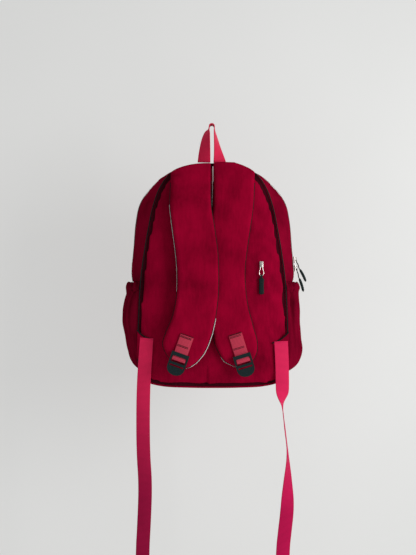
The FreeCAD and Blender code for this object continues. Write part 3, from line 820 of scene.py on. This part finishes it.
def pocket_folds(word, z, turn):
    """Depth of the gathers below the elastic: deep by the hem, long folds further down."""
    below = (HEM_LOW - z) / (HEM_LOW - POCKETS[word][1][-1][0])
    edge = 1 - smoothstep((abs(turn) - 0.80) / 0.20)
    seed = 2.0 if word == "right" else 6.4
    ruffle = math.sin(turn * 26 + 3 * rough_noise(turn * 2, 0, 0, seed)) * 2.2 * math.exp(-below * 6)
    long_folds = 17.0 * rough_noise(turn * 6.0 + below * 0.5, 0.2, below * 0.8, seed)
    long_folds *= smoothstep((below + 0.05) / 0.2) * (1 - below * 0.6)
    crumple = 1.4 * rough_noise(turn * 8.0, 1.0, below * 5.0, seed)
    return (ruffle + min(long_folds, 1.5) + crumple - 0.8) * edge


def make_pocket_hem(word):
    """Cloth ruffled along an elastic: a puffed roll pinched in two rows."""
    middle, half = (HEM_TOP + HEM_LOW) / 2, (HEM_TOP - HEM_LOW) / 2
    seed = 3.0 if word == "right" else 8.0
    rows = []
    for k in range(170):
        turn = 2 * k / 169 - 1
        edge = 1 - smoothstep((abs(turn) - 0.86) / 0.14)
        wave = math.sin(turn * 30 + 4.0 * rough_noise(turn * 3, 0, 0, seed))
        second = math.sin(turn * 47 + 3.0 * rough_noise(turn * 4, 2.0, 0, seed))
        lift = 3.4 * rough_noise(turn * 7, 0, 0, seed + 1)
        row = []
        for j in range(18):
            a = 2 * math.pi * j / 18
            rise = half * math.sin(a)
            flare = 0.35 + 0.65 * abs(math.sin(a))
            out = 4.4 * math.cos(a) * (1.0 + 0.22 * math.cos(4 * a)) - 3.2
            out += edge * (1.7 * wave * flare + 0.8 * second)
            row.append(pocket_point(word, middle + rise + (lift + 1.2 * second) * edge, turn, out))
        rows.append(row)
    roll = grid(rows, closed_columns=True)
    hem = piece("pocket_hem_ruffle_" + word, roll, M["pocket"], "bag")
    subdivide(outward(hem))
    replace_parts(hem, "pocket_hem_" + word)
    return hem


def make_side_pocket(word):
    columns, rows, low = 90, [], POCKETS[word][1][-1][0] - 4
    for i in range(60):
        z = HEM_LOW + 5 + (low - HEM_LOW - 5) * i / 59
        turns = [2 * k / (columns - 1) - 1 for k in range(columns)]
        rows.append([pocket_point(word, z, t, pocket_folds(word, z, t)) for t in turns])
    cloth = piece("side_pocket_cloth_" + word, grid(rows), M["pocket"], "bag")
    thicken(outward(cloth), 1.0, 0.0)
    subdivide(cloth)
    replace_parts(cloth, "side_pocket_" + word)
    make_pocket_hem(word)


# ---------------------------------------------------------------- straps
def strap_row(stations, z):
    """Edges and back face of a strap at a height, drawn in at its foot."""
    _, x0, x1, back = at_height(stations, max(z, STRAP_LAST))
    shrink = smoothstep((-443.5 - z) / 4.5) * 0.5
    return x0 + (x1 - x0) * shrink, x1 - (x1 - x0) * shrink, back


def top_shift(x, z):
    """Moves a strap's top rows up or down so that its end follows the bag's arch."""
    return (arch_height(x) + 2.0 - STRAPS["left"][0][0]) * smoothstep((z + 116) / 40)


def strap_end(z):
    """How full a strap is at a height: pinched in the top seam, rounded off at its foot."""
    top = 0.30 + 0.70 * smoothstep((-78 - z) / 26)
    foot = math.sqrt(max(0.0, 1 - (1 - min((z + 447.5) / 7.0, 1.0)) ** 2))
    return top * foot


def strap_heights():
    """Heights of a strap's rows: even down to its foot, then closer and closer."""
    even = [-76.0 - 369.5 * i / 119 for i in range(108)]
    return even + [-408 - 39 * math.sin(math.pi / 2 * i / 26) for i in range(1, 27)]


def make_strap(word):
    stations, body = STRAPS[word], "strap_" + word
    heights = [z for z in strap_heights() if z > -447.2]
    across = [0.0, 0.012, 0.03, 0.06, 0.11, 0.2, 0.32, 0.44, 0.56, 0.68, 0.8, 0.89, 0.94, 0.97, 0.988, 1.0]
    seed = 31.0 if word == "left" else 47.0
    rows, rim_left, rim_right = [], [], []
    for z in heights:
        x0, x1, back = strap_row(stations, z)
        full, width = strap_end(z), x1 - x0
        face, under = [], []
        for u in across:
            x = x0 + width * u
            edge = min(u, 1 - u) * width
            round_off = math.sqrt(max(0.0, 1 - (1 - min(edge / 5.0, 1.0)) ** 2))
            crown = 1.6 * (1 - (2 * u - 1) ** 2)
            sway = 0.9 * rough_noise(x * 0.03, 0, z * 0.016, seed)
            sway += 0.5 * rough_noise(x * 0.07, 0, z * 0.045, seed)
            swell = (STRAP_T - MESH_T - 2.2 + crown + sway * round_off) * round_off * full
            drop = top_shift(x, z)
            face.append(Vector((x, back - MESH_T - 1.0 - swell, z + drop)))
            under.append(Vector((x, back - MESH_T, z + drop)))
        rows.append(face + under[::-1])
        rim_left.append(face[0])
        rim_right.append(face[-1])
    top = Vector((sum(p.x for p in rows[0]) / len(rows[0]), rows[0][0].y, rows[0][0].z + 0.5))
    foot = Vector((sum(p.x for p in rows[-1]) / len(rows[-1]), rows[-1][0].y, rows[-1][0].z - 0.4))
    shape = merged(grid(rows, closed_columns=True), fan(rows[0][::-1], top), fan(rows[-1], foot))
    pad = outward(piece("strap_pad_" + word, shape, M["strap"], None))
    subdivide(pad)
    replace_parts(pad, "strap_%s_face" % word, "strap_%s_foam" % word)
    lining = make_strap_lining(word, [z for z in heights if z < LINING_TOP])
    # Black tubes along the face's edges: partly the strap's edge seam, partly painted shadow under the strap's
    # edge.
    edges = merged(tube(rim_left[10:], 1.0, 8), tube(rim_right[10:], 1.0, 8))
    dark_edge = piece("strap_edge_seam_shadow_" + word, edges, M["piping"], None)
    for part in (pad, lining, dark_edge):
        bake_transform(part)


def lining_out(word, edge, z):
    """How far the lining stands out of a strap's edge at a height."""
    out = -1.6
    for side, top, low, width in LINING_SHOWS[word]:
        if side == edge:
            inside = smoothstep((top + 8 - z) / 14) * smoothstep((z - low + 8) / 12)
            out = max(out, -1.6 + (1.6 + width) * inside)
    return out


def make_strap_lining(word, heights):
    """Light knitted mesh on the side that lies on the shoulder, its edge rolled out where it shows."""
    stations, rows = STRAPS[word], []
    for z in heights:
        x0, x1, back = strap_row(stations, z)
        x0, x1 = x0 - lining_out(word, 0, z), x1 + lining_out(word, 1, z)
        if x1 - x0 < 2:
            x0, x1 = (x0 + x1) / 2 - 1, (x0 + x1) / 2 + 1
        y0, y1 = back, back - MESH_T * 1.4
        section = [(0, (y0 + y1) / 2), (0.012, y0), (0.5, y0 + 0.1), (0.988, y0), (1, (y0 + y1) / 2),
                   (0.988, y1), (0.5, y1), (0.012, y1)]
        placed = [(x0 + (x1 - x0) * u, y) for u, y in section]
        rows.append([Vector((x, y, z + top_shift(x, z) - 1.0)) for x, y in placed])
    centre = [Vector((sum(p.x for p in r) / len(r), sum(p.y for p in r) / len(r), r[0].z))
              for r in (rows[0], rows[-1])]
    shape = merged(grid(rows, closed_columns=True), fan(rows[0][::-1], centre[0]), fan(rows[-1], centre[1]))
    lining = outward(piece("strap_lining_" + word, shape, M["mesh"], None))
    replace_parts(lining, "strap_%s_mesh" % word)
    return lining


# ---------------------------------------------------------------- webbing
def make_lock_webbing(word):
    """Webbing sewn to the strap, down round the lock's bar and back up, with its rows of stitches."""
    at, tilt = LOCKS[word]
    place = Matrix.Translation(at) @ Matrix.Rotation(math.radians(tilt), 4, "Y")
    centre_y = -BAR_OUT
    top = STUB_TOP[word]
    path = [(-0.75, top - (top - 15) * i / 12) for i in range(13)] + [(-0.75, 10), (-0.75, 5)]
    for i in range(13):
        a = math.pi * i / 12
        path.append((centre_y + BAR_LOOP_R * math.cos(a), -BAR_LOOP_R * math.sin(a)))
    path += [(-6.2, 4), (-4.9, 8.5), (-3.5, 13), (-2.5, STITCH_Z)]
    path += [(-2.35, STITCH_Z + (top - 0.8 - STITCH_Z) * i / 10) for i in range(1, 11)]
    centres = [place @ Vector((0, y, z)) for y, z in path]
    across = place.to_3x3() @ Vector((1, 0, 0))
    web = ribbon("lock_webbing_" + word, centres, [across] * len(centres), 12.4, WEB_T, M["stub"], None)
    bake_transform(web)
    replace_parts(web, "strap_%s_webbing" % word, "lock_loop_" + word)
    stitched = []
    for z in (top - 3.0, top - 5.0, 25.0, 23.0):
        line = [place @ Vector((x, -3.25, z)) for x in (-11.0, 11.0)]
        stitched += stitch_line(line, 2.6, 0.7)
    piece("lock_stitches_" + word, beads(stitched, 0.6), M["piping"], "strap_" + word)
    edge = [place @ Vector((x, -1.6, top + 0.3)) for x in (-12.3, -6, 0, 6, 12.3)]
    piece("lock_webbing_end_" + word, tube(edge, 0.55, 8), M["piping"], "strap_" + word)


def route(points):
    """Points along the smooth spline that a given route controls."""
    curve = bpy.data.curves.new("route", "CURVE")
    curve.dimensions = "3D"
    curve.resolution_u = 14
    spline = curve.splines.new("NURBS")
    spline.points.add(len(points) - 1)
    for control, co in zip(spline.points, points):
        control.co = (*co, 1.0)
    spline.order_u = 3
    spline.use_endpoint_u = True
    holder = bpy.data.objects.new("route", curve)
    bpy.context.collection.objects.link(holder)
    line = bpy.data.meshes.new_from_object(holder)
    found = [v.co.copy() for v in line.vertices]
    bpy.data.objects.remove(holder)
    bpy.data.curves.remove(curve)
    bpy.data.meshes.remove(line)
    return found


def make_adjuster(word):
    path = route(ADJUSTERS[word])
    turns = [math.radians(at_height(ADJUSTER_TURNS[word], p.z)[1]) for p in path]
    widths = [Vector((math.cos(a), math.sin(a), 0)) for a in turns]
    web = ribbon("adjuster_webbing_" + word, path, widths, 0.0125, 0.0015, M["web_" + word],
                 "webbing_" + word, 1.0)
    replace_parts(web, "adjuster_" + word)


def loop_leg(stations, side):
    """Centres and width directions up one leg of the haul loop; side is 1 on the left, -1 on the right."""
    found = []
    for x, z, turn in refined(stations, 5):
        a = math.radians(turn)
        found.append((Vector((x, 0, z)), Vector((side * math.cos(a), -math.sin(a), 0))))
    return found


def make_haul_loop():
    """Webbing whose legs leave the top seam nearly flat and turn on edge toward its round top."""
    top = []
    for i in range(1, 12):
        a = math.pi - math.pi * i / 12
        top.append((Vector((LOOP_R * math.cos(a), 0, LOOP_TOP_Z + LOOP_R * math.sin(a))), Vector((0, -1, 0))))
    centres, widths = zip(*(loop_leg(LOOP_LEG, 1) + top + loop_leg(LOOP_RIGHT, -1)[::-1]))
    loop = ribbon("haul_loop_webbing", centres, widths, LOOP_HALF, LOOP_T, M["loop"], "bag")
    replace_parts(loop, "haul_loop")


# ---------------------------------------------------------------- corner tabs
def make_corner_tab(word):
    """Triangle of bag cloth that anchors an adjuster, with a black tube along its top edge where the webbing
    comes out: a painted shadow line under that edge.
    """
    edge = {"left": [(-137, -379), (-129, -387.5), (-119, -393), (-107, -396)],
            "right": [(141, -383), (132.5, -391.5), (123, -398), (111, -403)]}[word]
    tip = {"left": [(-107, -396), (-112, -410), (-124, -424), (-137.5, -432)],
           "right": [(111, -403), (114.5, -415), (127, -428), (141.5, -434)]}[word]
    top, low = refined(edge, 5), refined(tip, 5)
    rows = []
    for i in range(9):
        t = i / 8
        row = []
        for (ax, az), (bx, bz) in zip(top, low[::-1]):
            bulge = 1.8 * math.sin(math.pi * min(t + 0.12, 1.0))
            row.append(Vector((ax + (bx - ax) * t, PANEL_Y - 1.2 - bulge, az + (bz - az) * t)))
        rows.append(row)
    tab = outward(piece("corner_tab_cloth_" + word, grid(rows), M["panel"], "bag"))
    subdivide(thicken(tab, 0.8))
    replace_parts(tab, "corner_tab_" + word)
    # Painted shadow: a black tube along the tab's top edge stands in for the shade between the tab and the
    # back panel.
    dark_edge = [Vector((x, PANEL_Y - 2.6, z + 0.4)) for x, z in top]
    piece("corner_shadow_line_" + word, tube(dark_edge, 1.25, 8), M["piping"], "bag")


# ---------------------------------------------------------------- zips and pulls
def straight_zip(name, start, end, out, body, node):
    """Tape with two raised lips and a coil between, along a straight line; out points away from the cloth."""
    along = (end - start).normalized()
    side = along.cross(out)
    lip = [(1.2, 0.4), (1.3, 1.2), (1.7, 1.5), (2.6, 0.9), (4.4, 0.5), (5.0, 0.1)]
    profile = [(-a, b) for a, b in lip[::-1]] + lip
    count = 60
    rows = [[start + (end - start) * (i / count) + side * a + out * b for a, b in profile]
            for i in range(count + 1)]
    tape = thicken(outward(piece(name + "_lips", grid(rows), M["tape"], body)), 0.4)
    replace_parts(tape, node)
    steps = int((end - start).length / 1.0)
    pegs = []
    for i in range(steps):
        p = start + along * (i + 0.5) + out * 0.9
        lean = 1 if i % 2 else -1
        pegs.append((p + side * (1.2 * lean), p - side * (0.3 * lean)))
    piece(name + "_coil", beads(pegs, 0.5), M["coil"], body)


def make_hanging_pull(word, wire, shift, outward_tilt, body):
    """Cord looped through the slider and a moulded grip with grooves, hanging outward."""
    tilt = Matrix.Translation(wire) @ Matrix.Rotation(math.radians(-outward_tilt), 4, "Y")
    eye = [tilt @ Vector((0, 3.0 * math.sin(a), -3.2 + 3.2 * math.cos(a)))
           for a in [2 * math.pi * k / 24 for k in range(24)]]
    piece("pull_eye_" + word, tube(eye, 0.7, 8, closed=True), M["cord"], body)
    run = [tilt @ Vector((0.5 * math.sin(i), shift * (i / 6) ** 1.3, -6.2 - (MAIN_CORD - 5.6) * i / 6))
           for i in range(7)]
    piece("pull_cord_" + word, tube(run, 1.0, 8), M["cord"], body)
    steps = 26
    centres, radii = [], []
    for i in range(steps + 1):
        t = i / steps
        centres.append(tilt @ Vector((0.9 * math.sin(t * 2.6), shift, -MAIN_CORD - MAIN_GRIP * t)))
        end = math.sqrt(max(0.02, 1 - (2 * t - 1) ** 8))
        radii.append((2.25 + 0.45 * math.sin(math.pi * t) + 0.16 * math.cos(t * 44)) * end)
    grip = piece("pull_grip_" + word, tube(centres, radii, 12), M["grip"], body)
    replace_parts(grip, "pull_" + word)


def make_hidden_pull():
    """Teardrop wire ring and a flat ribbed rubber grip."""
    outline = [Vector((x, 0, z)) for x, z in HIDDEN_LINK + [(-x, z) for x, z in HIDDEN_LINK[-2:0:-1]]]
    ring = [HIDDEN_WIRE + on_ring(outline, k / 60) for k in range(60)]
    piece("hidden_pull_ring", tube(ring, 0.75, 10, closed=True), M["metal"], "pocket_pull")
    rows = []
    for i in range(36):
        t = i / 35
        z = HIDDEN_WIRE.z - 18.0 - 36.0 * t
        neck = smoothstep((t - 0.14) / 0.08)
        end = math.sqrt(max(0.03, 1 - max(0.0, (t - 0.93) / 0.07) ** 2))
        end *= math.sqrt(max(0.1, min(1.0, t / 0.03)))
        half = (2.2 + 2.9 * neck - 0.7 * neck * math.sin(math.pi * (t - 0.2) / 0.8)) * end
        thick = (1.1 + 0.7 * neck + (0.16 * math.cos(t * 92) if 0.3 < t < 0.9 else 0)) * end
        row = []
        for k in range(16):
            a = 2 * math.pi * k / 16
            c, q = math.cos(a), math.sin(a)
            row.append(Vector((HIDDEN_WIRE.x + half * math.copysign(abs(c) ** 0.6, c),
                               HIDDEN_WIRE.y + thick * math.copysign(abs(q) ** 0.6, q), z)))
        rows.append(row)
    shape = merged(grid(rows, closed_columns=True),
                   fan(rows[0][::-1], HIDDEN_WIRE + Vector((0, 0, -17.9))),
                   fan(rows[-1], HIDDEN_WIRE + Vector((0, 0, -54.1))))
    grip = subdivide(outward(piece("hidden_pull_grip", shape, M["grip"], "pocket_pull")))
    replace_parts(grip, "hidden_pull")


def make_front_pull():
    ring = [FRONT_WIRE + Vector((0, 1.6 * math.sin(a), 1.6 * math.cos(a)))
            for a in [2 * math.pi * k / 20 for k in range(20)]]
    piece("front_pull_eye", tube(ring, 0.7, 8, closed=True), M["metal"], "front_zip_pull")
    run = [FRONT_WIRE + Vector((0, 0, -1.6 - 8.6 * i / 5)) for i in range(6)]
    piece("front_pull_cord", tube(run, 0.95, 8), M["cord"], "front_zip_pull")
    steps = 22
    centres = [FRONT_WIRE + Vector((0, 0, -10.0 - 22.0 * i / steps)) for i in range(steps + 1)]
    radii = [(1.9 + 0.4 * math.sin(math.pi * i / steps) + 0.15 * math.cos(i * 1.9))
             * math.sqrt(max(0.02, 1 - (2 * i / steps - 1) ** 8)) for i in range(steps + 1)]
    grip = piece("front_pull_grip", tube(centres, radii, 12), M["grip"], "front_zip_pull")
    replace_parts(grip, "front_pull")


def make_front_pocket():
    """Flat padded pocket on the lower front, with rounded corners."""
    outline = [Vector((BAG_X + x, 0, z)) for x, z in FRONT_POCKET]
    rim = [on_ring(outline, i / 160) for i in range(160)]
    centre = Vector((BAG_X, 0, -386))
    rows = []
    for share, y in refined([(1.0, 138.0), (0.998, 150.0), (0.985, 154.5), (0.955, 156.6), (0.85, 157.4),
                             (0.6, 157.7), (0.3, 157.8), (0.08, 157.8)], 2):
        rows.append(shrunk(rim, centre, share, y))
    shape = merged(grid(rows, closed_columns=True), fan(rows[-1], centre + Vector((0, 157.8, 0))),
                   fan(rows[0][::-1], centre + Vector((0, 138.0, 0))))
    pocket = outward(piece("front_pocket_cloth", shape, M["panel"], "bag"))
    push(pocket, lambda p: 0.7 * rough_noise(p.x * 0.03, 0, p.z * 0.03, 15.0) if p.y > 150 else 0.0)
    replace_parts(pocket, "front_pocket")
    seam = shrunk(rim, centre, 0.97, 156.6)
    stitches = beads(stitch_line(seam + seam[:1]), 0.3)
    piece("front_pocket_stitches", stitches, M["thread"], "bag")


def dress_cad_nodes():
    """Materials, and worn edges on metal and plastic, for the CAD nodes that stay."""
    looks = {"slider_upper": "metal", "slider_lower": "metal", "hidden_slider": "metal",
             "front_slider": "metal", "ladder_lock_left": "lock", "ladder_lock_right": "lock",
             "back_lining": "lining", "hidden_pocket_bag": "lining"}
    for node, look in looks.items():
        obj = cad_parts[node]
        for slot in obj.material_slots:
            slot.material = M[look]
        if look in ("metal", "lock"):
            soften(obj, 0.45 if look == "metal" else 0.7)


def make_stage():
    """Pale, partly self-lit wall behind, seen only from its front, and a floor of the same paint below."""
    paint = Shader("wall_paint", 0.9, specular=0.1)
    paint.colour(paint.ramp(paint.noise(2.0, 2.0), [(0.3, srgb(148, 149, 148)), (0.7, srgb(153, 154, 153))]))
    paint.set("Emission Color", (1.0, 1.0, 0.99, 1.0))
    paint.set("Emission Strength", 0.46)
    paint.bump(paint.noise(220.0, 2.0), 0.05, 0.4)
    clear = paint.node("ShaderNodeBsdfTransparent")
    either = paint.node("ShaderNodeMixShader")
    paint.link(paint.node("ShaderNodeNewGeometry").outputs["Backfacing"], either.inputs["Fac"])
    paint.link(paint.bsdf.outputs["BSDF"], either.inputs[1])
    paint.link(clear.outputs["BSDF"], either.inputs[2])
    paint.link(either.outputs["Shader"], paint.tree.nodes["Material Output"].inputs["Surface"])
    for name, centre, across, up in (("wall", (0, WALL_Y, 0.4), (4, 0, 0), (0, 0, 1.4)),
                                     ("floor", (0, 0, FLOOR_Z), (4, 0, 0), (0, 4, 0))):
        c, a, b = Vector(centre), Vector(across), Vector(up)
        mesh = bpy.data.meshes.new(name)
        mesh.from_pydata([c - a - b, c + a - b, c + a + b, c - a + b], [], [(0, 1, 2, 3)])
        mesh.materials.append(paint.material)
        flat = bpy.data.objects.new(name, mesh)
        bpy.context.collection.objects.link(flat)
        flat.visible_shadow = False


def make_lights():
    """Even pale surroundings, a soft key from the right, a weak fill from the left and a light behind."""
    world = bpy.data.worlds.new("room")
    bpy.context.scene.world = world
    world.use_nodes = True
    background = world.node_tree.nodes["Background"]
    background.inputs["Color"].default_value = (1.0, 1.0, 0.995, 1.0)
    background.inputs["Strength"].default_value = 0.40
    for name, place, aim, size, power in (("key", (0.95, -0.72, -0.12), (0.05, 0, -0.3), 0.7, 11.8),
                                          ("fill", (-1.6, -1.8, 0.3), (0, 0, -0.4), 1.4, 0.6),
                                          ("rear", (1.0, 2.0, 0.9), (0, 0, -0.3), 1.2, 14.0)):
        light = bpy.data.lights.new(name, "AREA")
        light.size = size
        light.energy = power
        lamp = bpy.data.objects.new(name, light)
        lamp.location = place
        lamp.rotation_euler = (Vector(aim) - Vector(place)).to_track_quat("-Z", "Y").to_euler()
        bpy.context.collection.objects.link(lamp)


def make_camera():
    """Straight on to the back panel; view_height is what the picture's long side takes in at the panel."""
    distance, view_height = 1.6, 1.021
    camera = bpy.data.cameras.new("camera")
    camera.sensor_width = 36.0
    camera.lens = camera.sensor_width * distance / view_height
    holder = bpy.data.objects.new("camera", camera)
    holder.location = (-0.007, PANEL_Y * MM - distance, -0.282)
    holder.rotation_euler = (math.pi / 2, 0, 0)
    bpy.context.collection.objects.link(holder)
    bpy.context.scene.camera = holder


# ---------------------------------------------------------------- everything
make_camera()
make_lights()
make_stage()
for word in ("left", "right"):
    make_adjuster(word)
    make_strap(word)
    make_lock_webbing(word)
    make_corner_tab(word)
    make_side_pocket(word)
make_bag_cloth()
make_flap_gusset()
make_front_cloth()
make_back_panel()
make_piping()
make_main_zip()
make_haul_loop()
make_front_pocket()
OUT_BACK, OUT_FRONT = Vector((0, -1, 0)), Vector((0, 1, 0))
straight_zip("hidden_zip", Vector((HIDDEN_X, PANEL_Y, HIDDEN_TOP)),
             Vector((HIDDEN_X, PANEL_Y, HIDDEN_LOW)), OUT_BACK, "bag", "hidden_zip")
straight_zip("front_pocket_zip_run", Vector((BAG_X - 88, FRONT_Y, FRONT_ZIP_Z)),
             Vector((BAG_X + 88, FRONT_Y, FRONT_ZIP_Z)), OUT_FRONT, "bag", "front_pocket_zip")
for word, (wire, shift, outward_tilt) in MAIN_WIRES.items():
    make_hanging_pull(word, wire, shift, outward_tilt, word + "_pull")
make_hidden_pull()
make_front_pull()
dress_cad_nodes()

bpy.context.scene.view_settings.view_transform = "Standard"
